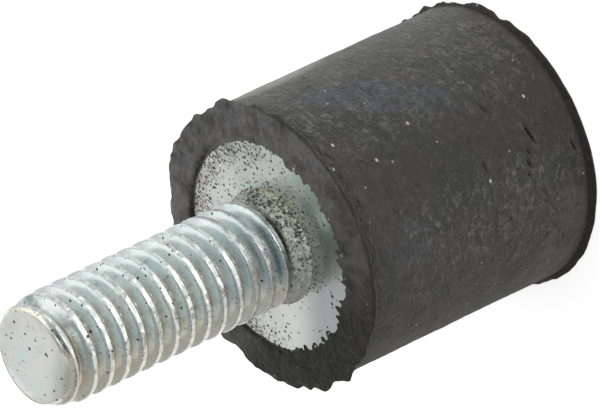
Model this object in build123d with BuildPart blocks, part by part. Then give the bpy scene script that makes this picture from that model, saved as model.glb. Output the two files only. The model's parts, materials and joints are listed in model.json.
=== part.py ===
"""Bobbin vibration mount, 10 x 10 mm with M4: a rubber cylinder moulded round two steel ends.

Millimetres, +Z up. The origin is the centre of the bottom face, which the mount stands on, and the
stud points up. Five pieces: rubber_body, stud_plate, threaded_stud, insert_plate, threaded_insert.
"""

import math
import os

from build123d import *

# ---- driving dimensions ----------------------------------------------------------------------

# Rubber cylinder
rubber_diameter = 9.8
rubber_height = 10.0

# Torn flash left at both edges of the mould
flash_thickness = 0.12
flash_steps = 144  # points on each torn outline
stud_flash_reach = 0.13  # mean reach past the cylinder
base_flash_reach = 0.26
flash_ripple = 0.03
# Longer tabs and bitten-out places: angle and half width in degrees, reach in millimetres
stud_flash_tabs = [(-171, 5, 0.15), (-12, 7, 0.10), (2, 5, -0.14), (14, 3, -0.07), (34, 12, 0.03)]
stud_flash_tabs += [(52, 3, -0.08), (64, 3, -0.08), (114, 4, 0.08), (124, 3, -0.11)]
stud_flash_tabs += [(152, 6, 0.11), (170, 4, 0.11)]
base_flash_tabs = [(-118, 14, 0.04), (-44, 3, -0.20), (-22, 9, -0.14), (-4, 12, -0.15), (10, 6, -0.08)]
base_flash_tabs += [(172, 14, -0.08)]

# Steel plates, flush with the rubber's ends, which closes over their bevelled rims
plate_diameter = 8.0
plate_thickness = 1.0
plate_edge_chamfer = 0.3

# M4 stud
thread_diameter = 3.9
neck_diameter = 3.5  # pressed through the plate
shank_foot_flare = 0.1  # where the shank's shoulder stands on the plate
shoulder_height = 0.5  # plain shoulder below the thread relief
relief_diameter = 3.25
relief_width = 0.45  # groove between the shoulder and the first turn of thread
relief_flank = 0.1
stud_projection = 10.4  # tip above the plate
lead_height = 1.0  # the last turns, which taper towards the tip
lead_taper = 0.19
tip_edge_height = 0.15
tip_edge_width = 0.11
head_diameter = 6.4
head_thickness = 0.9
head_edge_chamfer = 0.2

# Blind M4 insert
tapping_diameter = 3.3
tapped_depth = 3.7
mouth_chamfer = 0.35
drill_point_angle = 118
insert_end_wall = 0.5
spigot_diameter = 4.8  # pressed in the plate
barrel_diameter = 5.8
barrel_edge_chamfer = 0.3

# ---- derived sizes ---------------------------------------------------------------------------

rubber_radius = rubber_diameter / 2
plate_radius = plate_diameter / 2

thread_radius = thread_diameter / 2
neck_radius = neck_diameter / 2
relief_radius = relief_diameter / 2
lead_radius = thread_radius - lead_taper
head_radius = head_diameter / 2

tapping_radius = tapping_diameter / 2
drill_point_depth = tapping_radius / math.tan(math.radians(drill_point_angle / 2))
insert_length = mouth_chamfer + tapped_depth + drill_point_depth + insert_end_wall
spigot_radius = spigot_diameter / 2
barrel_radius = barrel_diameter / 2

# Heights up the mount's axis
stud_plate_top = rubber_height
stud_plate_bottom = stud_plate_top - plate_thickness
head_bottom = stud_plate_bottom - head_thickness
stud_tip = stud_plate_top + stud_projection
lead_start = stud_tip - lead_height
relief_start = stud_plate_top + shoulder_height
relief_end = relief_start + relief_width
insert_top = insert_length
tapping_end = mouth_chamfer + tapped_depth


def flash_outline(mean_reach, tabs):
    """Points round a torn flash fin: fine ripples on a circle, with its longer tabs and bites."""
    points = []
    for step in range(flash_steps):
        angle = 360 * step / flash_steps
        turn = math.radians(angle)
        ripple = 0.6 * math.sin(23 * turn + 0.8) + 0.4 * math.sin(37 * turn + 2.1)
        reach = mean_reach + flash_ripple * ripple
        for tab_angle, tab_width, tab_reach in tabs:
            offset = (angle - tab_angle + 180) % 360 - 180
            reach += tab_reach * math.exp(-((offset / tab_width) ** 2))
        radius = rubber_radius + max(reach, flash_ripple)
        points.append((radius * math.cos(turn), radius * math.sin(turn)))
    return points


# ---- steel pieces ----------------------------------------------------------------------------

# Disc bonded into the stud end
with BuildPart() as stud_plate:
    with BuildSketch(Plane.XY.offset(stud_plate_bottom)):
        Circle(plate_radius)
        Circle(neck_radius, mode=Mode.SUBTRACT)
    extrude(amount=plate_thickness)
    plate_rims = stud_plate.edges().filter_by(GeomType.CIRCLE).group_by(SortBy.RADIUS)[-1]
    chamfer(plate_rims, length=plate_edge_chamfer)
stud_plate.part.label = "stud_plate"

# Stud with its neck pressed through that plate, held between its shoulder and its head
with BuildPart() as threaded_stud:
    with BuildSketch(Plane.XY.offset(head_bottom)):
        Circle(head_radius)
    extrude(amount=head_thickness)
    chamfer(threaded_stud.edges().sort_by(Axis.Z)[0], length=head_edge_chamfer)
    with BuildSketch(Plane.XZ):
        with BuildLine():
            Polyline(
                (0, stud_plate_bottom),
                (neck_radius, stud_plate_bottom),
                (neck_radius, stud_plate_top),
                (thread_radius + shank_foot_flare, stud_plate_top),
                (thread_radius, stud_plate_top + shank_foot_flare),
                (thread_radius, relief_start),
                (relief_radius, relief_start + relief_flank),
                (relief_radius, relief_end - relief_flank),
                (thread_radius, relief_end),
                (thread_radius, lead_start),
                (lead_radius, stud_tip - tip_edge_height),
                (lead_radius - tip_edge_width, stud_tip),
                (0, stud_tip),
                close=True,
            )
        make_face()
    revolve(axis=Axis.Z)
threaded_stud.part.label = "threaded_stud"

# Disc bonded into the base end
with BuildPart() as insert_plate:
    with BuildSketch():
        Circle(plate_radius)
        Circle(spigot_radius, mode=Mode.SUBTRACT)
    extrude(amount=plate_thickness)
    plate_rims = insert_plate.edges().filter_by(GeomType.CIRCLE).group_by(SortBy.RADIUS)[-1]
    chamfer(plate_rims, length=plate_edge_chamfer)
insert_plate.part.label = "insert_plate"

# Blind threaded bush, its spigot pressed in that disc and flush with it
with BuildPart() as threaded_insert:
    with BuildSketch(Plane.XZ) as insert_section:
        with BuildLine():
            Polyline(
                (tapping_radius + mouth_chamfer, 0),
                (spigot_radius, 0),
                (spigot_radius, plate_thickness),
                (barrel_radius, plate_thickness),
                (barrel_radius, insert_top),
                (0, insert_top),
                (0, tapping_end + drill_point_depth),
                (tapping_radius, tapping_end),
                (tapping_radius, mouth_chamfer),
                close=True,
            )
        make_face()
        barrel_end = insert_section.vertices().sort_by_distance((barrel_radius, insert_top))[0]
        chamfer(barrel_end, length=barrel_edge_chamfer)
    revolve(axis=Axis.Z)
threaded_insert.part.label = "threaded_insert"

# ---- rubber ----------------------------------------------------------------------------------

# Cylinder with a torn flash fin at each end, moulded round all the steel
with BuildPart() as rubber_body:
    with BuildSketch():
        Circle(rubber_radius)
    extrude(amount=rubber_height)

    with BuildSketch(Plane.XY.offset(rubber_height)):
        with BuildLine():
            Spline(*flash_outline(stud_flash_reach, stud_flash_tabs), periodic=True)
        make_face()
    extrude(amount=-flash_thickness)

    with BuildSketch():
        with BuildLine():
            Spline(*flash_outline(base_flash_reach, base_flash_tabs), periodic=True)
        make_face()
    extrude(amount=flash_thickness)

    # A core pin keeps the tapping clear of rubber
    with BuildSketch():
        Circle(tapping_radius + mouth_chamfer)
    extrude(amount=tapping_end + drill_point_depth, mode=Mode.SUBTRACT)

    for steel in (stud_plate, threaded_stud, insert_plate, threaded_insert):
        add(steel.part, mode=Mode.SUBTRACT)
rubber_body.part.label = "rubber_body"

# ---- files -----------------------------------------------------------------------------------

os.makedirs("parts", exist_ok=True)
export_step(rubber_body.part, "parts/rubber_body.step")
export_step(stud_plate.part, "parts/stud_plate.step")
export_step(threaded_stud.part, "parts/threaded_stud.step")
export_step(insert_plate.part, "parts/insert_plate.step")
export_step(threaded_insert.part, "parts/threaded_insert.step")
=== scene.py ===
"""Bobbin vibration mount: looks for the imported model, in metres, in the model's own frame.

The CAD pieces give the places and main sizes. This script adds the stud's and the insert's threads,
the torn flash, the ragged film of rubber over the plates, the floor, the light and every material.
Angles round the axis are in degrees from +X towards +Y, so the camera's side is at -90.
"""
import json
import math
from math import radians

import bmesh
import bpy
import numpy as np
from mathutils import Matrix, Vector


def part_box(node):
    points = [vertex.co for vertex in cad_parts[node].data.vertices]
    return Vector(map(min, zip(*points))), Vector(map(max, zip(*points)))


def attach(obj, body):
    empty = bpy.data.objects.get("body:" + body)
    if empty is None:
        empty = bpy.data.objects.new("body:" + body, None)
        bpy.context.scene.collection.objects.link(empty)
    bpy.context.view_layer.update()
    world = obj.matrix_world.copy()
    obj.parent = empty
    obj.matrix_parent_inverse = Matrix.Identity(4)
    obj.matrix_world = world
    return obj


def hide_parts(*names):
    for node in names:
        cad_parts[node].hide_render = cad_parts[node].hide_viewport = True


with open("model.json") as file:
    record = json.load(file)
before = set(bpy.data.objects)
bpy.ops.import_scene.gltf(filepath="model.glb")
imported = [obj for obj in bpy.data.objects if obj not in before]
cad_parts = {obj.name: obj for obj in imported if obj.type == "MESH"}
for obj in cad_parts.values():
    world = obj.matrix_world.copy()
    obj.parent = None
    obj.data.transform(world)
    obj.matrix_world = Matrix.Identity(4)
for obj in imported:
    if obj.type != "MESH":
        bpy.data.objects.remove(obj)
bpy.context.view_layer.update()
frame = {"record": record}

MM = 0.001
TAU = 2 * math.pi
mounts = {mount["name"]: mount for mount in frame["record"]["mounts"]}

# ---- sizes in millimetres, from the CAD pieces ----


def box_mm(node):
    """Lowest and highest corner of a CAD piece, in millimetres."""
    low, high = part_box(node)
    return low / MM, high / MM


plate_low, plate_high = box_mm("stud_plate")
stud_low, stud_high = box_mm("threaded_stud")
insert_plate_low, insert_plate_high = box_mm("insert_plate")
insert_low, insert_high = box_mm("threaded_insert")

rubber_radius = 4.9
rubber_top = plate_high.z
plate_radius = plate_high.x
plate_bevel = 0.3
plate_face_radius = plate_radius - plate_bevel
head_radius = stud_high.x
head_bevel = 0.2
stud_head = [(head_radius - head_bevel, stud_low.z), (head_radius, stud_low.z + head_bevel)]
stud_head += [(head_radius, plate_low.z)]
neck_radius = 1.75
tip = stud_high.z
shank_radius = mounts["stud"]["dims"]["r_mm"]
tapping_radius = mounts["insert_thread"]["dims"]["r_mm"]
tapping_depth = mounts["insert_thread"]["dims"]["length_mm"]
spigot_radius = 2.4
barrel_radius = insert_high.x
barrel_bevel = 0.3
barrel = [(barrel_radius, insert_plate_high.z), (barrel_radius, insert_high.z - barrel_bevel)]
barrel += [(barrel_radius - barrel_bevel, insert_high.z)]
mouth_bevel = 0.35
drill_point = tapping_radius / math.tan(radians(59))

# ---- repeatable unevenness ----


def ease(share):
    """A share from 0 to 1 with a soft start and end."""
    return share * share * (3 - 2 * share)


def smooth_step(value, low, high):
    """0 below low and 1 above high, with a soft change between."""
    return ease(np.clip((value - low) / (high - low), 0, 1))


def ring_noise(turn, count, seed, sharp=False):
    """Heights from -1 to 1 at count places round the axis, joined by curves or by straight lines."""
    heights = np.random.default_rng(seed).uniform(-1, 1, count)
    spot = (turn / TAU) % 1 * count
    index = np.floor(spot).astype(int)
    share = spot - index
    if not sharp:
        share = ease(share)
    return heights[index % count] * (1 - share) + heights[(index + 1) % count] * share


def sheet_noise(turn, level, around, step, seed):
    """The same on a surface: around places round the axis, and one each step along it."""
    rows = 64
    heights = np.random.default_rng(seed).uniform(-1, 1, (around, rows))
    spot = (turn / TAU) % 1 * around
    column = np.floor(spot).astype(int)
    across = ease(spot - column)
    spot = level / step + 1000
    row = np.floor(spot).astype(int)
    along = ease(spot - row)
    lower, upper = row % rows, (row + 1) % rows
    first, second = column % around, (column + 1) % around
    first = heights[first, lower] * (1 - along) + heights[first, upper] * along
    second = heights[second, lower] * (1 - along) + heights[second, upper] * along
    return first * (1 - across) + second * across


def degrees_from(turn, at_angle):
    """How far round the axis each place is from an angle, -180 to 180 degrees."""
    return (np.degrees(turn) - at_angle + 180) % 360 - 180


def bumps(turn, tabs):
    """Sum of soft tabs and bites round the axis: angle and half width in degrees, reach in mm."""
    total = np.zeros_like(turn)
    for tab_angle, width, reach in tabs:
        total = total + reach * np.exp(-((degrees_from(turn, tab_angle) / width) ** 2))
    return total


def sectors(turn, tabs):
    """The same as a mask, held between 0 and 1."""
    return np.clip(bumps(turn, tabs), 0, 1)


# ---- round meshes ----


def angles(columns):
    """Even angles once round the axis, in radians."""
    return np.arange(columns) / columns * TAU


def repeated(section, columns):
    """Rings from a section's points: the radii and the levels, each the same all round."""
    radii, levels = np.array(section).T
    return np.outer(radii, np.ones(columns)), np.outer(levels, np.ones(columns))


def ring_faces(rows, columns, joined, helix):
    """Quads between each ring and the next, with the seam of a thread joined a turn further on."""
    ring = np.arange(columns)
    after = (ring + 1) % columns
    faces = []
    for row in range(joined):
        this = row * columns
        upper = (row + 1) % rows * columns
        strip = np.stack([this + ring, this + after, upper + after, upper + ring], axis=1)
        if helix and helix[0] <= row < helix[0] + helix[1] - 1:
            joins = (row + helix[2], row + 1 + helix[2])
            if min(joins) >= helix[0] and max(joins) < helix[0] + helix[1]:
                strip[-1, 1:3] = [join * columns for join in joins]
            else:
                strip = strip[:-1]
        faces.append(strip)
    return np.concatenate(faces).tolist()


def cap_faces(rows, columns):
    """Triangles from the two centre points to the first and last ring."""
    first, last = rows * columns, rows * columns + 1
    pairs = [(column, (column + 1) % columns) for column in range(columns)]
    caps = [(first, following, column) for column, following in pairs]
    end = (rows - 1) * columns
    return caps + [(last, end + column, end + following) for column, following in pairs]


def round_mesh(name, radii, levels, start=None, end=None, sharp_angle=35, helix=None):
    """A closed body from rings: radii and levels are rows x columns in millimetres.

    start and end are the heights of a centre point that closes the first or last ring. With neither,
    the last ring joins the first. helix gives a thread's first row, number of rows and rows a turn:
    there the last column joins the first one turn further on.
    """
    rows, columns = radii.shape
    turns = angles(columns)
    points = np.stack([radii * np.cos(turns), radii * np.sin(turns), levels], axis=-1).reshape(-1, 3)
    if start is None:
        faces = ring_faces(rows, columns, rows, helix)
    else:
        faces = ring_faces(rows, columns, rows - 1, helix) + cap_faces(rows, columns)
        points = np.concatenate([points, np.array([(0, 0, start), (0, 0, end)], float)])
    mesh = bpy.data.meshes.new(name)
    mesh.from_pydata((points * MM).tolist(), [], faces)
    clean(mesh)
    mesh.shade_smooth()
    mesh.set_sharp_from_angle(angle=radians(sharp_angle))
    return put_in_scene(name, mesh)


def put_in_scene(name, data):
    """A new object in the scene that shows the given mesh, light or camera."""
    piece = bpy.data.objects.new(name, data)
    bpy.context.scene.collection.objects.link(piece)
    return piece


def clean(mesh):
    """Weld doubled points, drop faces with no area and turn every face outwards."""
    work = bmesh.new()
    work.from_mesh(mesh)
    bmesh.ops.remove_doubles(work, verts=work.verts, dist=0.0004 * MM)
    bmesh.ops.dissolve_degenerate(work, edges=work.edges, dist=0.0002 * MM)
    bmesh.ops.recalc_face_normals(work, faces=work.faces)
    work.to_mesh(mesh)
    work.free()


def hang(piece, material, node):
    """Dress a finished piece and hang it on the model in place of its CAD piece."""
    piece.data.materials.clear()
    piece.data.materials.append(material)
    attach(piece, "root")
    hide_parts(node)


# ---- threads ----

thread_pitch = 0.707
thread_crest = 15.92  # height of one crest on the -Y side
crest_share = 0.24  # of the pitch
root_share = 0.12


def thread_profile(share):
    """How deep the groove is, 0 to 1, at a share of the pitch from the crest's middle."""
    away = np.abs((share + 0.5) % 1 - 0.5) * 2
    flank = np.clip((away - crest_share) / (1 - crest_share - root_share), 0, 1)
    return 0.55 * flank + 0.45 * ease(flank)


def helical_levels(low, high, rows_per_pitch, columns):
    """Rows of heights that climb one pitch in a turn, held between low and high."""
    count = int((high - low) / thread_pitch * rows_per_pitch) + rows_per_pitch + 2
    rows = np.arange(count)[:, None] - rows_per_pitch
    levels = low + rows * (thread_pitch / rows_per_pitch) + thread_pitch * angles(columns) / TAU
    return np.clip(levels, low, high)


# ---- stud ----

thread_depth = 0.37
crest_raggedness = 0.016
first_crests_worn = 0.01
shoulder_foot_radius = 2.02
shoulder_top_radius = 1.87
shoulder_start = rubber_top + 0.10
relief_start = rubber_top + 0.60
relief_end = rubber_top + 0.86
relief_radius = 1.66
relief_flank = 0.10
taper_length = 1.1
taper_share = 0.48  # of the thread's depth, lost at the tip
tip_radius = 1.78
tip_edge_height = 0.17
tip_edge_width = 0.13
last_crest = thread_crest + 6 * thread_pitch  # on the -Y side; past it the groove is filled
tip_groove_angle = -89
tip_groove_depth = 0.13
tip_notch_angle = -38
tip_notch_depth = 0.10
worn_corner_angle = -138
worn_corner_drop = 0.22
worn_corner_spread = 0.06


def stud_thread(turns, levels):
    """The thread: crests ragged at their edges, faintly dented, and lower towards the tip."""
    crest_height = thread_crest + thread_pitch * (turns / TAU + 0.25)
    off_crest = (levels - crest_height) / thread_pitch
    by_crest = 1 - smooth_step(np.abs((off_crest + 0.5) % 1 - 0.5), 0.12, 0.24)
    ragged = crest_raggedness * sheet_noise(turns, levels, 130, 0.09, 4) * by_crest
    groove = thread_profile(off_crest + ragged / thread_pitch)
    dent = 0.003 * sheet_noise(turns, levels, 40, 0.11, 5)
    dent = dent + 0.002 * sheet_noise(turns, levels, 110, 0.05, 6)
    worn = first_crests_worn * (1 - smooth_step(levels, relief_end, relief_end + 2.0))
    height = 1 - taper_share * smooth_step(levels, tip - taper_length, tip - 0.1)
    return shank_radius - thread_depth + (thread_depth * (1 - groove) - worn + dent) * height


def stud_shoulder(turns, levels):
    """The flared shoulder that stands on the plate."""
    climb = np.clip((levels - shoulder_start) / (relief_start - shoulder_start), 0, 1)
    radii = shoulder_foot_radius + (shoulder_top_radius - shoulder_foot_radius) * climb**0.6
    radii = radii + 0.014 * sheet_noise(turns, levels, 60, 0.07, 7)
    return radii + 0.012 * sheet_noise(turns, levels, 25, 0.2, 9)


def stud_relief(levels):
    """The turned groove below the first turn, as the largest radius at each height."""
    into_relief = np.minimum(levels - relief_start, relief_end - levels) / relief_flank
    return shank_radius - (shank_radius - relief_radius) * np.clip(into_relief, 0, 1)


def stud_tip(radii, turns, levels):
    """The last turn's run out, the groove and notch beside it, and the tip's rounded edge."""
    turn_share = ((turns + math.pi) % TAU - math.pi) / TAU + 0.25
    past_crest = levels - last_crest - thread_pitch * turn_share
    filled = tip_radius - 0.5 * np.maximum(past_crest, 0)
    radii = np.where(past_crest > -0.02, np.maximum(radii, filled), radii)

    off_groove = degrees_from(turns, tip_groove_angle)
    groove_level = last_crest + 0.12 + 0.0020 * off_groove
    groove = np.exp(-((off_groove / 20) ** 4) - ((levels - groove_level) / 0.035) ** 2)
    off_notch = degrees_from(turns, tip_notch_angle)
    notch = np.exp(-((off_notch / 3.5) ** 2) - ((levels - tip + 0.14) / 0.09) ** 2)
    radii = radii - tip_groove_depth * groove - tip_notch_depth * notch

    below_tip = np.clip(1 - (tip - levels) / tip_edge_height, 0, 1)
    rounded = tip_radius - tip_edge_width * below_tip**1.6
    return np.where(below_tip > 0, np.minimum(radii, rounded), radii)


def build_stud():
    """The stud: shoulder, relief, right-hand thread, tapered tip, and the hidden neck and head."""
    columns = 200
    rows_per_pitch = 28
    turns = angles(columns)
    levels = helical_levels(shoulder_start, tip, rows_per_pitch, columns)
    on_shoulder = levels < relief_start + 0.5 * relief_flank
    radii = np.where(on_shoulder, stud_shoulder(turns, levels), stud_thread(turns, levels))
    radii = np.minimum(radii, stud_relief(levels))
    radii = stud_tip(radii, turns, levels)

    hidden = stud_head + [
        (neck_radius, plate_low.z),
        (neck_radius, rubber_top),
        (shank_radius + 0.10, rubber_top),
        (shank_radius + 0.09, rubber_top + 0.03),
    ]
    low_radii, low_levels = repeated(hidden, columns)
    face = [(1.50, tip), (1.30, tip - 0.006), (0.9, tip - 0.010), (0.5, tip - 0.012)]
    face_radii, face_levels = repeated(face, columns)
    face_levels = face_levels + 0.004 * sheet_noise(turns, face_radii, 9, 0.4, 8)
    all_radii = np.concatenate([low_radii, radii, face_radii])
    all_levels = np.concatenate([low_levels, levels, np.minimum(face_levels, tip)])

    corner = sectors(turns, [(worn_corner_angle, 32, 1.0)])
    corner = corner * smooth_step(all_levels, tip - 0.42, tip - 0.06)
    corner = corner * smooth_step(all_radii, 1.05, 1.70)
    all_levels = all_levels - worn_corner_drop * corner
    all_radii = all_radii + worn_corner_spread * corner
    helix = (len(hidden), len(levels), rows_per_pitch)
    return round_mesh("stud", all_radii, all_levels, stud_low.z, tip - 0.012, 55, helix)


# ---- rubber ----

# Tabs and bites of the two torn fins: angle and half width in degrees, reach in mm
stud_flash_tabs = [(-171, 5, 0.15), (-12, 7, 0.10), (2, 5, -0.14), (14, 3, -0.07), (34, 12, 0.03)]
stud_flash_tabs += [(52, 3, -0.08), (64, 3, -0.08), (114, 4, 0.08), (124, 3, -0.11)]
stud_flash_tabs += [(152, 6, 0.11), (170, 4, 0.11)]
base_flash_tabs = [(-118, 14, 0.04), (-44, 3, -0.20), (-22, 9, -0.14), (-4, 12, -0.15), (10, 6, -0.08)]
base_flash_tabs += [(172, 14, -0.08)]
stud_flash_reach = 0.13
base_flash_reach = 0.26
flash_thickness = 0.12
annulus_radius = rubber_radius - 0.05
film_radius = 3.69
film_bites = [(-57, 8, -0.08), (-89, 11, -0.12), (-112, 8, -0.20), (-143, 8, -0.14)]
torn_sides = [(-165, 40, 1.0), (-80, 45, 0.6)]  # where the film has teeth towards the axis
parted_sides = [(35, 32, 1.0), (80, 32, 1.0), (128, 24, 0.9)]  # where a crevice is open
crevice_depth = 0.11
# Cuts round the rubber's side: angle and half length in degrees, height and depth in mm
nicks = [(-93.4, 3.6, 2.01, 0.20), (-99.5, 1.1, 2.33, 0.12), (-103.7, 1.9, 2.44, 0.15)]
nicks += [(-108.1, 0.9, 2.56, 0.12), (-76.9, 2.2, 3.24, 0.09), (-97.8, 2.4, 4.25, 0.08)]
nicks += [(-105.1, 2.8, 0.43, 0.17)]
nick_width = 0.038
nick_slant = 0.02  # mm of height a degree


class Rings:
    """The rings of one section, each with a radius and a level at every angle."""

    def __init__(self, columns):
        self.turn = angles(columns)
        self.radii = []
        self.levels = []

    def add(self, radius, level):
        self.radii.append(radius * np.ones_like(self.turn))
        self.levels.append(level * np.ones_like(self.turn))

    def noise(self, count, seed, sharp=False):
        return ring_noise(self.turn, count, seed, sharp)

    def sheet(self, along, around, step, seed):
        return sheet_noise(self.turn, along, around, step, seed)

    def mesh(self, name, start, end, sharp_angle):
        return round_mesh(name, np.array(self.radii), np.array(self.levels), start, end, sharp_angle)


def flash_reach(rings, mean, tabs, ripple_height, teeth, seed):
    """How far a torn fin stands out from the cylinder at each angle."""
    ripple = 0.6 * np.sin(23 * rings.turn + 0.8) + 0.4 * np.sin(37 * rings.turn + 2.1)
    toothed = rings.noise(97, seed, True) + 0.5 * rings.noise(211, seed + 1, True)
    reach = mean + ripple_height * ripple + bumps(rings.turn, tabs) + teeth * toothed
    return np.maximum(reach, 0.015)


def add_stud_pocket(rings):
    """Round the stud's head and the plate that it is pressed in."""
    for radius, level in stud_head:
        rings.add(radius, level)
    rings.add(plate_face_radius, plate_low.z)
    rings.add(plate_radius, plate_low.z + plate_bevel)
    rings.add(plate_radius, plate_high.z - plate_bevel)
    rings.add(plate_face_radius + 0.01, plate_high.z - 0.01)


def add_film(rings):
    """The film over the plate's rim. Gives its height, its edge and where it is parted."""
    torn = sectors(rings.turn, torn_sides)
    jagged = 0.6 * rings.noise(113, 21, True) + 0.6 * rings.noise(307, 22, True)
    spikes = np.maximum(rings.noise(197, 28, True), 0) ** 1.3
    edge = film_radius + bumps(rings.turn, film_bites)
    edge = edge + 0.02 * rings.noise(23, 23) - (0.02 + 0.08 * torn) * jagged
    edge = np.minimum(edge - 0.42 * torn * spikes, plate_face_radius + 0.005)
    parted = sectors(rings.turn, parted_sides) * (0.75 + 0.25 * rings.noise(37, 25))
    film = (0.045 + 0.015 * rings.noise(61, 24)) * (1 - parted) + 0.002
    rings.add(edge, rubber_top)
    rings.add(edge, rubber_top + 0.4 * film)
    rings.add(edge + 0.02, rubber_top + 0.9 * film)
    rings.add(edge + 0.04, rubber_top + film - 0.02 * parted)
    return film, edge, parted


def add_crevice(rings, film, edge, parted):
    """The crevice between plate and rubber, open on the +X +Y side. Gives its outer radius."""
    dip = crevice_depth * parted
    crevice = edge + 0.10 + 0.02 * rings.noise(29, 26)
    rings.add(crevice - 0.02, rubber_top + film - dip)
    rings.add(crevice + 0.03 + 0.06 * parted, rubber_top + film - dip)
    rings.add(crevice + 0.09 + 0.06 * parted, rubber_top + film - 0.3 * dip)
    inner = crevice + 0.13 + 0.09 * parted + 0.03 * rings.noise(41, 27)
    rings.add(inner, rubber_top + film + 0.035 * parted)
    return inner


def add_annulus(rings, inner, film, parted):
    """The uneven end face, out to the fin."""
    for share in np.linspace(0.06, 1, 17):
        radius = inner + (annulus_radius - inner) * share
        wave = 0.016 * rings.sheet(radius, 90, 0.16, 33) + 0.012 * rings.sheet(radius, 30, 0.3, 34)
        wave = wave + 0.008 * rings.sheet(radius, 210, 0.30, 37)
        rise = (film + 0.035 * parted) * (1 - share) ** 2
        crown = 0.03 * math.sin(math.pi * share)
        rings.add(radius, rubber_top + rise + wave * min(1, 6 * share) + crown)


def add_stud_fin(rings):
    """The torn fin at the stud end, out along its top and back underneath."""
    reach = flash_reach(rings, stud_flash_reach, stud_flash_tabs, 0.03, 0.065, 31)
    curl = 0.04 * rings.noise(33, 35)
    for share in (0.25, 0.5, 0.75, 0.93):
        rings.add(annulus_radius + (0.05 + reach) * share, rubber_top + curl * share - 0.02 * share)
    rings.add(rubber_radius + reach, rubber_top - 0.035 + curl)
    for share in (0.93, 0.7, 0.45, 0.2):
        rings.add(rubber_radius + reach * share, rubber_top - 0.06 - 0.06 * (1 - share) + curl * share)
    rings.add(rubber_radius, rubber_top - flash_thickness - 0.03 - 0.05 * rings.noise(57, 36))


def side_levels():
    """Heights of the side's rings from the top down, closer together where the nicks are."""
    levels = list(np.linspace(rubber_top - 0.3, flash_thickness + 0.25, 36))
    for at_angle, half_length, at_level, depth in nicks:
        levels = [level for level in levels if abs(level - at_level) > 0.14]
    levels += list(np.linspace(2.72, 1.83, 24)) + list(np.linspace(0.58, 0.28, 8))
    for at_level in (3.24, 4.25):
        levels += list(at_level + np.linspace(-0.13, 0.13, 8))
    return sorted(levels, reverse=True)


def add_side(rings):
    """The cylinder's side, faintly uneven, with its nicks."""
    for level in side_levels():
        uneven = 0.012 * rings.sheet(level, 24, 1.3, 41) + 0.010 * rings.sheet(level, 110, 0.21, 42)
        for at_angle, half_length, at_level, depth in nicks:
            around = degrees_from(rings.turn, at_angle)
            off_line = level - at_level - nick_slant * around
            nick = np.exp(-((around / half_length) ** 4) - (off_line / nick_width) ** 2)
            uneven = uneven - depth * nick
        rings.add(rubber_radius + uneven, level)


def add_base(rings):
    """The torn fin at the base end and the base face. The fin is calmer on the camera's side."""
    calm = sectors(rings.turn, [(-115, 80, 1.0)])
    ripple_height = 0.03 * (1 - 0.8 * calm)
    teeth = 0.06 * (1 - 0.95 * calm)
    reach = flash_reach(rings, base_flash_reach, base_flash_tabs, ripple_height, teeth, 51)
    rings.add(rubber_radius, flash_thickness + 0.10 + 0.03 * rings.noise(47, 52))
    for share in (0.1, 0.35, 0.65, 0.9):
        rings.add(rubber_radius + reach * share, flash_thickness * (1 - 0.4 * share))
    rings.add(rubber_radius + reach, 0.04)
    rings.add(rubber_radius + reach, 0.015)
    for share in (0.7, 0.3):
        rings.add(rubber_radius + reach * share, 0.0)
    for radius in np.linspace(rubber_radius - 0.05, plate_face_radius - 0.07, 7):
        rings.add(radius, 0.0)


def add_insert_pocket(rings):
    """Round the insert's plate and barrel."""
    rings.add(plate_face_radius + 0.01, 0.01)
    rings.add(plate_radius, plate_bevel)
    rings.add(plate_radius, insert_plate_high.z - plate_bevel)
    rings.add(plate_face_radius, insert_plate_high.z)
    for radius, level in barrel:
        rings.add(radius, level)


def build_rubber():
    """The moulded rubber, from the stud's pocket over the outside and round to the insert's."""
    rings = Rings(600)
    add_stud_pocket(rings)
    film, edge, parted = add_film(rings)
    inner = add_crevice(rings, film, edge, parted)
    add_annulus(rings, inner, film, parted)
    add_stud_fin(rings)
    add_side(rings)
    add_base(rings)
    add_insert_pocket(rings)
    return rings.mesh("rubber", stud_low.z, insert_high.z, 50)


# ---- plates ----


def build_plate(name, low, high, hole_radius, face_up, seed):
    """A bevelled disc with a faintly uneven face."""
    columns = 360
    face_radii = np.linspace(hole_radius, plate_face_radius, 40)
    section = [(radius, high) for radius in face_radii]
    section += [(plate_radius, high - plate_bevel), (plate_radius, low + plate_bevel)]
    section += [(radius, low) for radius in face_radii[::-1]]
    radii, levels = repeated(section, columns)
    turns = angles(columns)
    uneven = 0.005 * sheet_noise(turns, radii, 26, 0.35, seed)
    uneven = np.abs(uneven + 0.003 * sheet_noise(turns, radii, 90, 0.09, seed + 1))
    uneven = uneven * smooth_step(radii, hole_radius, hole_radius + 0.2)
    uneven = uneven * (1 - smooth_step(radii, plate_face_radius - 0.2, plate_face_radius))
    if face_up:
        levels = levels - uneven * (levels > high - 0.001)
    else:
        levels = levels + uneven * (levels < low + 0.001)
    return round_mesh(name, radii, levels)


# ---- insert ----


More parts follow.
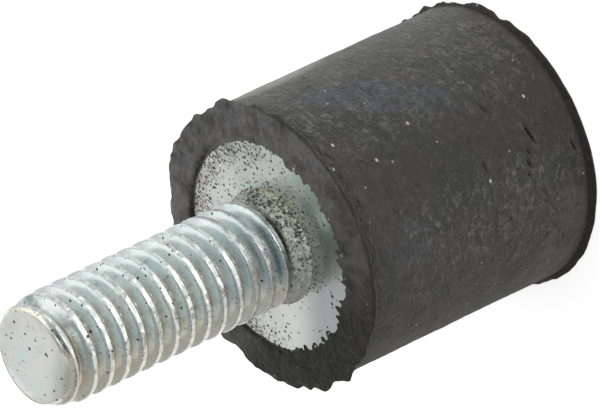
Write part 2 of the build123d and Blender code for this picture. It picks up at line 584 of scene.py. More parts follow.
def build_insert():
    """The blind bush, with the thread that its tapping has."""
    columns = 96
    rows_per_pitch = 14
    low = insert_low.z
    bottom = low + mouth_bevel
    top = bottom + tapping_depth
    levels = helical_levels(bottom, top, rows_per_pitch, columns)[::-1]
    groove = thread_profile(levels / thread_pitch - angles(columns) / TAU)
    fades = smooth_step(levels, bottom - 0.05, bottom + 0.05) * (1 - smooth_step(levels, top - 0.5, top))
    radii = tapping_radius + 0.30 * (1 - groove) * fades

    outside = [(tapping_radius + mouth_bevel, low), (spigot_radius, low)]
    outside += [(spigot_radius, insert_plate_high.z)] + barrel
    drilled = [(0.4, top + drill_point * 0.75), (tapping_radius, top + 0.02)]
    in_radii, in_levels = repeated(drilled, columns)
    out_radii, out_levels = repeated(outside, columns)
    all_radii = np.concatenate([in_radii, radii, out_radii])
    all_levels = np.concatenate([in_levels, levels, out_levels])
    helix = (len(drilled), len(levels), -rows_per_pitch)
    centre = top + drill_point
    return round_mesh("insert", all_radii, all_levels, centre, insert_high.z, 35, helix)


# ---- shader helpers ----


def put(socket, value):
    """Set a node's input, or link a value to it."""
    if isinstance(value, Value):
        socket.id_data.links.new(value.socket, socket)
    elif socket.type == "RGBA":
        socket.default_value = (*value, 1)
    else:
        socket.default_value = value


def new_node(tree, kind, inputs):
    """A shader node of a kind, with some of its inputs set or linked."""
    node = tree.nodes.new("ShaderNode" + kind)
    for name, value in inputs.items():
        put(node.inputs[name], value)
    return node


def node_value(tree, kind, inputs, output=0):
    """A new node's output."""
    return Value(new_node(tree, kind, inputs).outputs[output])


def step(operation):
    """A method that puts one kind of maths node after a value."""

    def follow(value, other=0.0):
        return value.math(operation, value, other)

    return follow


class Value:
    """A node's output. Arithmetic on it, and the calls below, add the nodes that work it out."""

    __add__ = step("ADD")
    __sub__ = step("SUBTRACT")
    __mul__ = step("MULTIPLY")
    __truediv__ = step("DIVIDE")
    __abs__ = step("ABSOLUTE")
    fraction = step("FRACT")
    root = step("SQRT")
    least = step("MINIMUM")
    most = step("MAXIMUM")
    under = step("LESS_THAN")
    over = step("GREATER_THAN")

    def __init__(self, socket):
        self.socket = socket

    def new(self, kind, inputs):
        """A new node in the same tree."""
        return new_node(self.socket.id_data, kind, inputs)

    def math(self, operation, first, second=0.0):
        node = self.new("Math", {0: first, 1: second})
        node.operation = operation
        return Value(node.outputs[0])

    def __radd__(self, other):
        return self.math("ADD", other, self)

    def __rsub__(self, other):
        return self.math("SUBTRACT", other, self)

    def held(self):
        """The value held between 0 and 1."""
        return Value(self.new("Clamp", {"Value": self}).outputs[0])

    def span(self, low, high, to_low=0.0, to_high=1.0):
        """Map a range of the value, held at both ends and softly joined."""
        node = self.new("MapRange", {"Value": self, "From Min": low, "From Max": high})
        node.interpolation_type = "SMOOTHSTEP"
        put(node.inputs["To Min"], to_low)
        put(node.inputs["To Max"], to_high)
        return Value(node.outputs["Result"])

    def fall(self, low, high):
        """1 below low and 0 above high."""
        return self.span(low, high, 1, 0)

    def between(self, low, full, fading, high):
        """0 below low, 1 from full to fading, and 0 above high."""
        return self.span(low, full) * self.fall(fading, high)

    def rarer(self, rarity):
        """1 where the value is over a rarity."""
        if isinstance(rarity, Value):
            return self.over(rarity)
        return self.span(rarity, rarity + 0.01)

    def mix(self, first, second):
        """From the first colour to the second, by this share."""
        node = self.new("Mix", {})
        node.data_type = "RGBA"
        for name, value in (("Factor", self), ("A", first), ("B", second)):
            put(node.inputs[name], value)
        return Value(node.outputs["Result"])

    def split(self):
        return [Value(part) for part in self.new("SeparateXYZ", {0: self}).outputs]

    def join(self, second, third):
        return Value(self.new("CombineXYZ", {0: self, 1: second, 2: third}).outputs[0])

    def scaled(self, scale):
        return Value(self.new("Mapping", {"Vector": self, "Scale": scale}).outputs[0])


def most(first, *others):
    """The largest of several masks."""
    for other in others:
        first = first.most(other)
    return first


class Look:
    """A material in millimetres, with its place round the axis and the colour painted so far."""

    def __init__(self, name):
        self.material = bpy.data.materials.new(name)
        self.material.use_nodes = True
        self.tree = self.material.node_tree
        metres = node_value(self.tree, "TexCoord", {}, "Object")
        self.place = metres.scaled((1 / MM, 1 / MM, 1 / MM))
        self.x, self.y, self.level = self.place.split()
        self.angle = self.x.math("ARCTAN2", self.y, self.x)
        self.radius = (self.x * self.x + self.y * self.y).root()
        self.above = self.level - rubber_top
        self.colour = (0.0, 0.0, 0.0)

    def paint(self, share, tone):
        """Lay a tone over the colour so far."""
        self.colour = share.mix(self.colour, tone)

    def noise(self, scale, detail=3.0, roughness=0.55, vector=None, distortion=0.0):
        inputs = {"Vector": vector or self.place, "Scale": scale, "Detail": detail}
        inputs.update({"Roughness": roughness, "Distortion": distortion})
        return node_value(self.tree, "TexNoise", inputs)

    def cloud(self, scale, low, high, to_low=0.0, to_high=1.0, detail=4, roughness=0.6):
        """Noise between two of its heights."""
        return self.noise(scale, detail, roughness).span(low, high, to_low, to_high)

    def haze(self, scale, low=0.3, high=0.7, to_low=0.0, to_high=1.0):
        """A smoother cloud."""
        return self.cloud(scale, low, high, to_low, to_high, 3, 0.55)

    def spots(self, scale):
        """Distance to the nearest of scattered points, and three chances that each point has."""
        node = new_node(self.tree, "TexVoronoi", {"Vector": self.place, "Scale": scale})
        return Value(node.outputs["Distance"]), Value(node.outputs["Color"]).split()

    def scatter(self, scale, full, none, channel, rarity):
        """Round specks, full inside one distance and gone past another, on the rarer points."""
        distance, chances = self.spots(scale)
        return distance.fall(full, none) * chances[channel].rarer(rarity)

    def turn(self, low, high, to_low=0.0, to_high=1.0):
        """Map a range of angles round the axis, in degrees."""
        return self.angle.span(radians(low), radians(high), to_low, to_high)

    def sector(self, at_angle, half_turn, angle=None):
        """1 in a soft sector: its middle in degrees, its half width in radians."""
        around = ((angle or self.angle) - radians(at_angle)) * (1 / half_turn)
        return (around * around).fall(0.3, 1.0)

    def patch(self, at_angle, at_level, half_around, half_along, radius=rubber_radius, **warped):
        """1 in a soft oval on a surface: angle in degrees, the rest in mm. warped bends its place."""
        around = warped.get("angle", self.angle) - radians(at_angle)
        around = around * (radius / half_around)
        along = (warped.get("level", self.level) - at_level) / half_along
        return (around * around + along * along).fall(0.3, 1.0)

    def bump(self, height, distance, under=None):
        """A bumpy surface, on top of another one where that is given."""
        inputs = {"Height": height, "Distance": distance * MM, "Strength": 1.0}
        if under:
            inputs["Normal"] = under
        return node_value(self.tree, "Bump", inputs)

    def finish(self, rough, normal, metallic, **constants):
        """Join everything to the material's own surface."""
        inputs = {"Base Color": self.colour, "Roughness": rough, "Normal": normal, "Metallic": metallic}
        for name, value in {**inputs, **constants}.items():
            put(self.tree.nodes["Principled BSDF"].inputs[name], value)
        return self.material


# ---- the stud's zinc ----


def stud_turns(look):
    """Turns of thread up to each place, and the share of a turn from the nearest crest."""
    lead = look.angle / TAU + (0.25 + thread_crest / thread_pitch)
    turned = look.level / thread_pitch - lead
    turned = turned + look.haze(7, 0.3, 0.7, -0.04, 0.04)
    away = abs((turned + 1000.5).fraction() - 0.5)
    return turned, away


def paint_flanks(look, away, stain):
    """Blue-grey flanks, with painted shade towards the roots (less on the lit +X side), and bluer on the
    first turns.
    """
    light = look.haze(1.1, 0.35, 0.65)
    look.colour = light.mix((0.57, 0.64, 0.645), (0.65, 0.7, 0.685))
    downwards = away + stain.span(0.3, 0.7, -0.05, 0.05)
    # painted shade: the flanks darkened towards the roots, less on the lit +X side
    dull = downwards.span(0.16, 0.46) * look.turn(-78, -52, 1.0, 0.18)
    look.paint(dull, (0.46, 0.465, 0.42))
    first_turns = look.above.fall(1.0, 5.5)
    look.paint(first_turns * look.sector(-100, 0.9) * 0.45, (0.34, 0.42, 0.47))


def paint_crests(look, away, crest):
    """Crests in cloudy patches: a painted highlight where they face the camera, painted darker on the
    underside and along their middle elsewhere.
    """
    wander = look.haze(3.0, 0.3, 0.7, -0.3, 0.3)
    # painted highlight on the crests that face the camera; elsewhere the crests are painted darker, most
    # on the underside and along their middle
    facing = look.sector(-85, 0.4, look.angle + wander)
    middle_line = away.span(0.02, 0.07, 0.6, 0.0) * (1 - facing)
    tone = look.turn(-108, -94, 1, 0).mix((0.44, 0.435, 0.4), (0.31, 0.295, 0.245))
    tone = facing.mix(tone, (0.93, 0.91, 0.86))
    tone = middle_line.mix(tone, (0.28, 0.285, 0.27))
    worn = look.cloud(5.0, 0.38, 0.6, 1.0, 0.25, roughness=0.65)
    look.paint(crest * worn, tone)


def paint_roots(look, away, stain, root, not_tip):
    """Brown stain with painted shade in the roots, a warm tint on the underside towards the tip, and
    painted light over the underside.
    """
    # brown stain and painted shade in the roots, less on the lit +X side
    brown = root * look.turn(-78, -52, 1.0, 0.18) * stain.span(0.35, 0.6, 0.45, 0.85)
    look.paint(brown, (0.26, 0.235, 0.18))
    tipward = look.above.span(3.0, 8.0, 0.25, 1.0)
    below = look.turn(-150, -120, 1, 0) * not_tip
    warm = tipward * below * away.span(0.14, 0.34) * stain.span(0.35, 0.55)
    look.paint(warm * 0.8, (0.62, 0.52, 0.4))
    # painted light: the underside lightened
    look.paint(below * 0.4, (0.82, 0.78, 0.7))


def worn_corner(look):
    """Where the tip's corner is rounded off."""
    return look.sector(worn_corner_angle, 0.8) * look.radius.span(1.05, 1.7)


def tip_area(look, turned, corner):
    """The tip's face, and the filled groove past the last crest."""
    last_turn = look.level.span(last_crest - 0.4, last_crest - 0.3)
    past_last = turned.span(6.0, 6.05) * last_turn * (1 - look.sector(-80, 0.55))
    from_tip = corner * worn_corner_drop + (look.level - tip)
    return most(from_tip.span(-0.1, -0.03), past_last)


def stud_specks(look, away, on_tip):
    """Dark specks, more of them on the tip and at the crests' edges, and one large one."""
    speck = look.scatter(3.4, 0.12, 0.2, 0, 0.8 - on_tip * 0.45)
    by_edge = (0.25 + away.between(0.06, 0.12, 0.17, 0.24)).held()
    fine_speck = look.scatter(8.0, 0.18, 0.32, 1, 0.84) * by_edge
    large = look.patch(-94, tip - 1.0, 0.07, 0.08, shank_radius)
    return most(speck, fine_speck, large)


def paint_shoulder(look, low):
    """The dull shoulder, greenish at its foot, and its dark grains."""
    mottled = look.cloud(6.5, 0.4, 0.6, detail=5, roughness=0.7)
    dull = mottled.mix((0.36, 0.42, 0.38), (0.62, 0.62, 0.54))
    foot = look.above.fall(0.02, 0.12)
    dull = (foot * look.sector(-52, 0.7) * 0.5).mix(dull, (0.5, 0.46, 0.24))
    dull = look.turn(-112, -96, 0.2, 0).mix(dull, (0.68, 0.65, 0.61))
    look.paint(low, dull)
    grain = look.noise(9.5, 5, 0.75) - look.turn(-150, -95, 0.1, 0.0)
    grain = grain + look.haze(1.8, 0.35, 0.65, -0.04, 0.06)
    return low * grain.span(0.525, 0.56)


def relief_shade_and_grime(look):
    """Dirt and painted shade in the groove below the first turn, thickest on the camera's side."""
    starts, ends = relief_start - 0.02, relief_end + 0.05
    within = look.level.between(starts, starts + 0.08, ends - 0.15, ends)
    deep = look.radius.fall(relief_radius + 0.03, relief_radius + 0.2)
    grains = look.cloud(8, 0.36, 0.52, 0.35, 1.0, roughness=0.7)
    facing = (0.25 + look.sector(-84, 0.55)).held()
    return within * deep * grains * facing


def tip_groove_shade(look):
    """Painted shade of the tip's groove: dark streaks beside it."""
    slanted = look.level - (look.angle - radians(tip_groove_angle)) * 0.1
    stretched = (look.angle * 5.0).join(look.level * 14.0, 2.0)
    streaks = look.noise(1.0, 4, 0.7, stretched).span(0.34, 0.6, 0.1, 0.74)
    return look.patch(-88, last_crest + 0.11, 1.0, 0.115, tip_radius, level=slanted) * streaks


def tip_face(look, corner, groove_shade):
    """The tip's pale face: beige edge, a painted highlight crescent and a dark crescent, a painted
    highlight on the rim's underside, specks, dirt at its rim and the groove's painted shade.
    """
    radius = look.radius
    face = look.cloud(0.9, 0.38, 0.62).mix((0.82, 0.89, 0.86), (0.92, 0.89, 0.84))
    smudge = look.cloud(2.2, 0.5, 0.66, roughness=0.65) * radius.span(0.9, 1.5) * 0.5
    beige = (look.x.span(0.4, 1.4) + radius.span(1.2, 1.6)).held()
    beige = beige * look.cloud(2.8, 0.36, 0.6) * 0.65
    # painted highlight: a bright crescent on the rounded edge at 115 degrees
    highlight_crescent = radius.between(1.2, 1.45, 1.54, 1.6) * look.sector(115, 0.55)
    dark_edge = radius.between(1.59, 1.62, 1.65, 1.69) * look.sector(152, 0.5) * 0.6
    # painted highlight on the rounded rim below -109 degrees
    rim_highlight = radius.span(tip_radius - 0.18, tip_radius - 0.12) * look.turn(-108.9, -97.4, 1, 0)
    speck = look.scatter(2.3, 0.11, 0.17, 0, 0.45)
    at_rim = radius.span(tip_radius - 0.16, tip_radius - 0.08)
    rim_dirt = at_rim * look.cloud(8, 0.54, 0.6, roughness=0.7) * 0.7
    # specks, dirt at the rim, and the groove's painted shade
    dirt_and_groove_shade = most(speck, groove_shade, rim_dirt) * 0.92
    layers = [(smudge, (0.74, 0.72, 0.6)), (beige, (0.78, 0.74, 0.6)), (highlight_crescent, (0.98, 1.0, 1.0))]
    layers += [(corner, (0.7, 0.71, 0.66)), (dark_edge, (0.25, 0.26, 0.25))]
    layers += [(rim_highlight, (1.0, 0.98, 0.92)), (dirt_and_groove_shade, (0.06, 0.06, 0.042))]
    for share, tone in layers:
        face = share.mix(face, tone)
    return face


def paint_last_turn(look, turned, away, on_tip, not_tip, groove_shade):
    """Tones beside the tip: the groove's painted shade, the last crest's lower part, its band and a dark
    smear.
    """
    off_tip = 1 - on_tip
    # painted shade of the tip's groove
    look.paint(groove_shade * off_tip, (0.085, 0.085, 0.065))
    last = turned.span(5.8, 5.88)
    look.paint(last * look.turn(-111.7, -97.4, 1, 0) * not_tip * 0.8, (0.5, 0.47, 0.4))
    band = last * away.span(0.02, 0.06) * look.turn(-100.3, -91.7)
    look.paint(band * off_tip * (1 - groove_shade) * 0.8, (0.42, 0.46, 0.44))
    smear = look.patch(-16, tip - 0.56, 0.6, 0.3, tip_radius)
    smear = smear * look.cloud(3.5, 0.36, 0.58, 0.15, 0.75, roughness=0.65)
    look.paint(smear, (0.2, 0.22, 0.24))


def zinc_stud():
    """Clear zinc plating: crests with a painted highlight, blue-grey flanks, dark specks, warm roots
    with painted shade, painted shade in the relief groove and beside the tip, a dull shoulder.
    """
    look = Look("zinc_stud")
    turned, away = stud_turns(look)
    crest = away.fall(0.09, 0.16)
    not_tip = look.level.fall(tip - 0.16, tip - 0.08)
    root = away.span(0.38, 0.47) * not_tip
    low = look.level.fall(relief_start + 0.02, relief_start + 0.1)
    corner = worn_corner(look)
    on_tip = tip_area(look, turned, corner)
    groove_shade = tip_groove_shade(look)
    stain = look.noise(2.6, 4, 0.6)

    paint_flanks(look, away, stain)
    paint_crests(look, away, crest)
    paint_roots(look, away, stain, root, not_tip)
    specks = most(stud_specks(look, away, on_tip), paint_shoulder(look, low))
    # dark specks, and dirt with painted shade in the groove below the first turn
    grime_and_shade = most(specks * 0.88, relief_shade_and_grime(look) * 0.95)
    look.paint(grime_and_shade, (0.028, 0.028, 0.022))
    look.paint(on_tip * (1 - grime_and_shade), tip_face(look, corner, groove_shade))
    paint_last_turn(look, turned, away, on_tip, not_tip, groove_shade)

    rough = look.cloud(14, 0.3, 0.7, 0.22, 0.29) + grime_and_shade * 0.4 + low * 0.3 + root * 0.25
    first_crests = look.above.between(1.1, 1.4, 2.5, 2.9)
    dulled = low * 0.45 + crest * first_crests * 0.7 + corner * on_tip * 0.7
    metallic = (0.95 - dulled).held()
    normal = look.bump(look.noise(7, 3, 0.5), 0.0015)
    normal = look.bump(specks * -1, 0.02, normal)
    return look.finish(rough, normal, metallic)


# ---- the plates' zinc ----


def paint_plate(look, out, slanted):
    """Pale zinc, with painted shade on its lower side and the stud's reflection painted green-grey
    beside the stud. Gives the dirty areas.
    """
    light = look.haze(0.9, 0.35, 0.65)
    look.colour = light.mix((0.8, 0.82, 0.79), (0.88, 0.87, 0.84))
    # painted shade on the plate's lower side
    look.paint(slanted.span(-2.6, -1.0, 0.9, 0), (0.44, 0.46, 0.46))
    left = slanted.span(-1.5, 1.5)
    rim = out.span(2.5, 3.35) * left
    front = look.y.fall(-2.0, 0.6) * look.x.span(-2.4, -1.2)
    foot = out.fall(2.0, 2.9) * front
    busy = most(rim, foot, left * 0.25)
    # painted reflection of the stud, green-grey, on the plate beside it
    stud_reflection = out.fall(3.7, 4.1) * look.y.fall(-0.4, 0.9) * look.x.span(-2.0, -1.6)
    look.paint(stud_reflection * 0.55, (0.52, 0.62, 0.56))
    beige = busy * look.cloud(6.0, 0.4, 0.6)
    look.paint(beige * 0.55, (0.66, 0.61, 0.47))
    clumps = look.noise(9.5, 5, 0.7) + look.haze(1.5, 0.35, 0.65, -0.05, 0.05)
    clumps = clumps + out.span(2.9, 3.7, 0.0, 0.05)
    clumps = clumps.span(0.535, 0.575) * busy
    look.paint(clumps * 0.6, (0.14, 0.12, 0.07))
    return busy


def zinc_plate():
    """Zinc-plated disc, dulled by dark and beige speckle at the rim and round the stud."""
    look = Look("zinc_plate")
    out = look.radius + look.haze(2.2, 0.3, 0.7, -0.25, 0.25)
    slanted = look.x * 0.6 + look.y * 0.8
    busy = paint_plate(look, out, slanted)
    pit = look.scatter(3.0, 0.12, 0.24, 0, 0.88)
    small = look.scatter(10.0, 0.24, 0.44, 1, 0.94 - busy * 0.78)
    middling = look.scatter(5.5, 0.18, 0.34, 2, 0.99 - busy * 0.5)
    specks = most(pit, small, middling)
    look.paint(specks * 0.92, (0.035, 0.03, 0.02))
    rough = look.cloud(16, 0.3, 0.7, 0.16, 0.26, roughness=0.65) + specks * 0.4 + busy * 0.22
    normal = look.bump(look.noise(9, 4, 0.6), 0.008)
    normal = look.bump(specks * -1, 0.02, normal)
    return look.finish(rough, normal, 0.93)


# ---- the rubber's material ----


def paint_bloom(look, side, mottle, streak, grain, underside):
    """Black rubber with a pale scuffed bloom, thickest on the upper side and thinned on the underside as
    painted shade, and a painted sheen at the top edge.
    """
    black = look.haze(0.45)
    look.colour = black.mix((0.012, 0.012, 0.011), (0.022, 0.019, 0.017))
    lower = look.turn(-108, -92, 1, 0) * look.level.fall(7.4, 9.4) * 0.75
    scuffed = (0.3 + most(look.turn(-85, -55), lower)).held()
    pale = mottle.span(0.47, 0.62) + streak.span(0.5, 0.66) * 0.6
    pale = pale * scuffed * side * grain.span(0.3, 0.6)
    # painted shade: less bloom on the underside
    pale = pale * (0.72 - underside * 0.28)
    blotch = look.noise(2.0, 5, 0.68, None, 0.7).span(0.42, 0.6, 0.45, 1.5)
    look.paint(pale * blotch, (0.162, 0.158, 0.149))
    # painted sheen: a pale patch along the top edge
    top_edge_sheen = look.patch(-3, 7.6, 1.5, 2.8) * side * 0.8
    look.paint(top_edge_sheen, (0.31, 0.3, 0.285))


def paint_stains(look, side):
    """Blue, brown and red stains at their own places round the side, and a tan painted sheen low on the
    underside.
    """
    sheared = look.angle - (look.level - 6.2) * 0.111
    blue = look.patch(-53, 6.2, 1.1, 2.8, angle=sheared)
    fainter = look.patch(-113, 8.1, 1.1, 1.1) * 0.45
    blue = most(blue, fainter) * look.cloud(3.6, 0.42, 0.62, detail=5, roughness=0.7) * side
    look.paint(blue * 0.8, (0.07, 0.077, 0.1))
    brown = look.patch(-86, 9.0, 2.2, 1.5)
    look.paint(brown * look.cloud(2.4, 0.4, 0.6) * 0.7, (0.05, 0.036, 0.028))
    # painted sheen: a tan patch near the base on the underside
    tan = look.patch(-150, 0.9, 3.4, 1.6) * side
    look.paint(tan * look.cloud(1.6, 0.4, 0.58) * 0.6, (0.11, 0.082, 0.062))
    red = look.patch(-88, 0.9, 1.6, 0.9)
    look.paint(red * look.cloud(3.1, 0.48, 0.6) * 0.6, (0.06, 0.036, 0.032))


def paint_annulus(look, top, shaded):
    """Radial streaks on the end face, dusty on the +X +Y side, tinted, with painted shade on the -X
    side, and greasy.
    """
    radial = (look.angle * 7.0).join(look.radius * 1.2, 4.0)
    spokes = look.noise(1.0, 4, 0.65, radial).span(0.3, 0.64)
    across = look.y * 0.35 + look.x * 0.7
    dusty = across.span(-2.6, 1.6, 0.5, 1.0)
    look.paint(spokes * dusty * top, (0.15, 0.142, 0.134))
    tint = look.cloud(1.4, 0.42, 0.62).mix((0.06, 0.042, 0.032), (0.105, 0.118, 0.14))
    tinted = top * look.cloud(2.6, 0.42, 0.6) * look.x.span(-1.5, 1.0) * 0.5
    look.paint(tinted, tint)
    # painted shade on the -X side of the end face
    look.paint(shaded * 0.8, (0.006, 0.005, 0.004))
    grease = top * look.cloud(3.0, 0.55, 0.66) * look.y.fall(-3.5, -1.0)
    look.paint(grease * 0.5, (0.085, 0.048, 0.024))


def paint_fins(look):
    """Painted light on the side's strip by the base fin, and the fin's own brown-black."""
    # painted light: the side lightened by the base fin, against the fin's shadow
    base_painted_light = look.level.between(0.13, 0.22, 0.25, 0.75)
    look.paint(base_painted_light * 0.45, (0.075, 0.068, 0.062))
    strip = look.radius.span(rubber_radius + 0.04, rubber_radius + 0.09)
    tone = look.cloud(4.0, 0.4, 0.6).mix((0.016, 0.013, 0.009), (0.034, 0.026, 0.017))
    look.paint(strip * look.level.fall(0.14, 0.18), tone)


def paint_gaps(look, side):
    """Painted shade: the fins' shadows on the side behind them, the fins' edges, inside the nicks and in
    the crevice by the plate.
    """
    radius, above = look.radius, look.above
    wiggly = above + look.haze(2.6, 0.3, 0.7, -0.1, 0.1)
    seam = wiggly.span(-0.42, -0.24) * above.fall(-0.16, -0.1) * 0.8
    base_seam = look.level.between(0.11, 0.13, 0.13, 0.17) * 0.7
    past_side = radius.span(rubber_radius - 0.03, rubber_radius + 0.03)
    rim = past_side * look.sector(-82, 1.1) * above.span(-0.26, -0.2) * 0.85
    fin_edge = radius.span(rubber_radius + 0.16, rubber_radius + 0.22)
    fin_edge = fin_edge * look.level.fall(0.14, 0.18) * 0.85
    cuts = radius.fall(rubber_radius - 0.12, rubber_radius - 0.05) * side
    by_plate = radius.between(film_radius - 0.03, film_radius + 0.01, 3.9, 4.0)
    crevice = by_plate * above.fall(-0.03, 0.01)
    # painted shade in the seams, on the fins' edges, in the nicks and in the crevice
    gap_shade = most(seam, base_seam, rim, fin_edge, cuts, crevice)
    look.paint(gap_shade, (0.009, 0.007, 0.006))


def paint_wrinkles(look, side):
    """Painted shade in thin wrinkles and in one crease below the stud's fin."""
    folds = abs(look.noise(2.3, 2, 0.5, None, 1.2) - 0.5)
    wrinkle = folds.fall(0.0, 0.016) * look.cloud(1.3, 0.52, 0.62, detail=2, roughness=0.55) * side
    look.paint(wrinkle * 0.7, (0.009, 0.008, 0.007))
    off_crease = abs(look.above + look.cloud(1.5, 0.3, 0.7, -0.28, 0.28, detail=3) + 0.34)
    crease = off_crease.fall(0.02, 0.07) * look.sector(-88, 0.85) * side
    look.paint(crease * 0.8, (0.006, 0.005, 0.004))
    return most(wrinkle, crease)


def grains(look, scale, smallest, largest, rarity):
    """Crisp grains of dust of many sizes."""
    distance, chances = look.spots(scale)
    size = chances[1].span(0.0, 1.0, smallest, largest)
    return distance.under(size) * chances[0].rarer(rarity)


def paint_dust(look, side):
    """Pale and rusty dust, finer by the stud's edge, with the largest grains at their own places."""
    distance, chances = look.spots(6.0)
    by_edge = look.level.span(8.6, 9.5) * side * look.sector(-85, 0.9)
    edge_dust = distance.fall(0.1, 0.22) * chances[0].rarer(0.8) * by_edge
    edge_tone = chances[1].span(0.45, 0.55).mix((0.36, 0.2, 0.09), (0.46, 0.44, 0.38))
    look.paint(edge_dust * 0.7, edge_tone)
    fine_dust = grains(look, 5.0, 0.04, 0.16, 0.74) * 0.35
    dust = most(grains(look, 2.3, 0.03, 0.1, 0.62), fine_dust)
    look.paint(dust * 0.9, (0.44, 0.42, 0.38))
    lit_grains = [(-64.4, 9.16), (-73.5, 9.74), (-77.4, 8.07)]
    lit_grains += [(-69.3, 6.15), (-79.1, 1.52), (-103.5, 4.21)]
    for at_angle, at_level in lit_grains:
        grain = look.patch(at_angle, at_level, 0.08, 0.06)
        look.paint(grain * side, (0.62, 0.61, 0.57))


def paint_film(look, top):
    """Pale chips and rust on the film over the plate's rim."""
    chips = look.radius.between(3.5, 3.55, 3.68, 3.76) * top
    chips = look.scatter(5.6, 0.24, 0.4, 0, 0.62) * chips * 0.85
    look.paint(chips, (0.58, 0.58, 0.52))
    rust = look.radius.between(3.6, 3.66, 3.92, 4.05) * top
    rust = rust * look.cloud(6.0, 0.54, 0.6, roughness=0.7) * look.x.span(-1.0, 0.6) * 0.7
    look.paint(rust, (0.15, 0.085, 0.04))


def rubber():
    """Dull black moulded rubber with scuffs, bloom, streaks round the cylinder, nicks and dust, and
    painted sheen, light and shade.
    """
    look = Look("rubber")
    side = look.above.fall(-0.16, -0.1) * look.level.span(0.14, 0.3)
    top = look.above.span(-0.12, -0.05)
    streak = look.noise(1.0, 4, 0.62, look.place.scaled((1.8, 1.8, 4.5)), 0.8)
    mottle = look.noise(4.2, 5, 0.66, None, 0.9)
    grain = look.noise(13, 3, 0.6)
    underside = look.turn(-150, -105, 1, 0)
    # where the end face gets painted shade
    shaded = top * look.x.fall(-3.6, -1.6)

    paint_bloom(look, side, mottle, streak, grain, underside)
    paint_stains(look, side)
    paint_annulus(look, top, shaded)
    paint_fins(look)
    paint_gaps(look, side)
    creased = paint_wrinkles(look, side)
    paint_dust(look, side)
    paint_film(look, top)

    rough = most(underside, shaded) * 0.26
    rough = mottle.span(0.3, 0.7, 0.46, 0.66) + rough
    streaks = streak * look.turn(-150, -105, 0.15, 0.5)
    height = streaks + mottle * 0.6 + grain * 0.35
    normal = look.bump(creased * -1.0, 0.12, look.bump(height, 0.15))
    return look.finish(rough, normal, 0.0, **{"Sheen Weight": 0.2, "Sheen Roughness": 0.3})


# ---- the insert's zinc ----


def zinc_insert():
    """Bright zinc on the bush, finely turned."""
    look = Look("zinc_insert")
    turned = look.noise(1.0, 3, 0.5, look.place.scaled((2, 2, 30)))
    look.colour = turned.span(0.35, 0.65).mix((0.68, 0.71, 0.73), (0.8, 0.81, 0.8))
    look.paint(look.scatter(4.0, 0.12, 0.2, 0, 0.85) * 0.8, (0.05, 0.045, 0.035))
    return look.finish(look.haze(12, 0.3, 0.7, 0.22, 0.38), look.bump(turned, 0.01), 0.95)


# ---- pieces ----

hang(build_stud(), zinc_stud(), "threaded_stud")
hang(build_rubber(), rubber(), "rubber_body")
plate_finish = zinc_plate()
top_plate = build_plate("stud_end_plate", plate_low.z, plate_high.z, neck_radius, True, 61)
hang(top_plate, plate_finish, "stud_plate")
low_z, high_z = insert_plate_low.z, insert_plate_high.z
base_plate = build_plate("base_end_plate", low_z, high_z, spigot_radius, False, 71)
hang(base_plate, plate_finish, "insert_plate")
hang(build_insert(), zinc_insert(), "threaded_insert")

# ---- camera ----

camera_aim = Vector((0.83, 0.0, 8.17)) * MM
camera_distance = 298.8 * MM
camera_elevation = radians(35.78)
camera_roll = radians(-115.1)
camera_lens = 542.3  # millimetres on a 36 mm sensor


def make_camera():
    """Look down at the stud end from -Y, rolled so that the stud points down to the left."""
    data = bpy.data.cameras.new("camera")
    data.lens = camera_lens
    data.sensor_width = 36
    data.clip_start = 0.01
    data.clip_end = 10
    camera = put_in_scene("camera", data)
    tilt = Matrix.Rotation(radians(90) - camera_elevation, 4, "X")
    rotation = tilt @ Matrix.Rotation(camera_roll, 4, "Z")
    backward = rotation.to_3x3() @ Vector((0, 0, 1))
    camera.matrix_world = Matrix.Translation(camera_aim + backward * camera_distance) @ rotation
    bpy.context.scene.camera = camera


# ---- floor, lights and world ----

object_middle = Vector((0, 0, 10)) * MM
floor_half_width = 1.5
floor_level = -0.005 * MM  # clear of the base, so that their faces don't share a plane


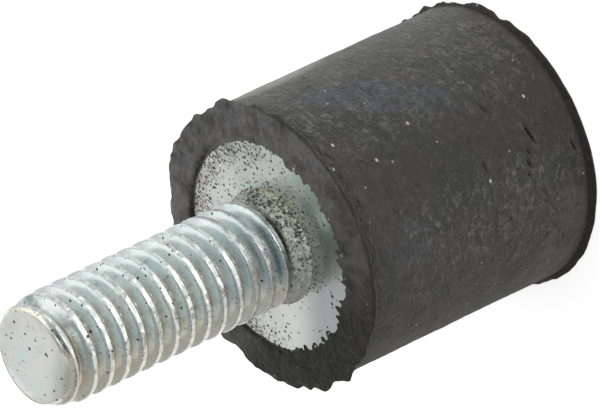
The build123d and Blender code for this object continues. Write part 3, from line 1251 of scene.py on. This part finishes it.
def make_floor():
    """A large pale floor that the camera and the metal see as white, with the object's shadow."""
    sides = [(-1, -1), (1, -1), (1, 1), (-1, 1)]
    corners = [(x * floor_half_width, y * floor_half_width, floor_level) for x, y in sides]
    mesh = bpy.data.meshes.new("floor")
    mesh.from_pydata(corners, [], [(0, 1, 2, 3)])
    floor = put_in_scene("floor", mesh)
    material = bpy.data.materials.new("floor")
    material.use_nodes = True
    tree = material.node_tree
    tree.nodes.clear()
    diffuse = node_value(tree, "BsdfDiffuse", {"Color": (0.82, 0.82, 0.82)})
    glow = node_value(tree, "Emission", {"Strength": 0.62})
    lit = node_value(tree, "AddShader", {0: diffuse, 1: glow})
    rays = new_node(tree, "LightPath", {}).outputs
    seen_by = ("Is Camera Ray", "Is Glossy Ray", "Is Transmission Ray")
    seen = most(*[Value(rays[kind]) for kind in seen_by])
    shown = node_value(tree, "MixShader", {0: seen, 1: diffuse, 2: lit})
    new_node(tree, "OutputMaterial", {"Surface": shown})
    mesh.materials.append(material)


def make_light(name, direction, distance, size, watts, colour):
    """A square soft light that faces the object from a direction."""
    data = bpy.data.lights.new(name, "AREA")
    data.size = size
    data.energy = watts
    data.color = colour
    light = put_in_scene(name, data)
    towards = Vector(direction).normalized()
    light.location = object_middle + towards * distance
    light.rotation_euler = towards.to_track_quat("Z", "Y").to_euler()


def make_world():
    """A pale studio: cool white on the +X side, warm on the -X side, with a darker gap overhead."""
    world = bpy.data.worlds.new("world")
    bpy.context.scene.world = world
    world.use_nodes = True
    tree = world.node_tree
    x, y, z = node_value(tree, "TexCoord", {}, "Generated").split()
    height = y.least(0.0) * 0.4 + z
    middle_band = abs(x + 0.12).fall(0.24, 0.6)
    gap = height.span(0.62, 0.9) * middle_band
    sky = x.span(-0.7, 0.1).mix((0.6, 0.57, 0.53), (0.92, 0.95, 0.96))
    sky = x.span(0.15, 0.55).mix(sky, (1.06, 1.08, 1.08))
    sky = gap.mix(sky, (0.36, 0.42, 0.44))
    background = tree.nodes["Background"]
    put(background.inputs["Color"], sky)
    put(background.inputs["Strength"], 0.8)


make_camera()
make_floor()
make_light("key", (0.62, 0.12, 0.78), 0.25, 0.26, 0.11, (1.0, 0.99, 0.97))
make_light("front", (0.05, -0.90, 0.30), 0.30, 0.12, 0.14, (1.0, 0.99, 0.96))
make_world()

bpy.context.scene.view_settings.view_transform = "Standard"
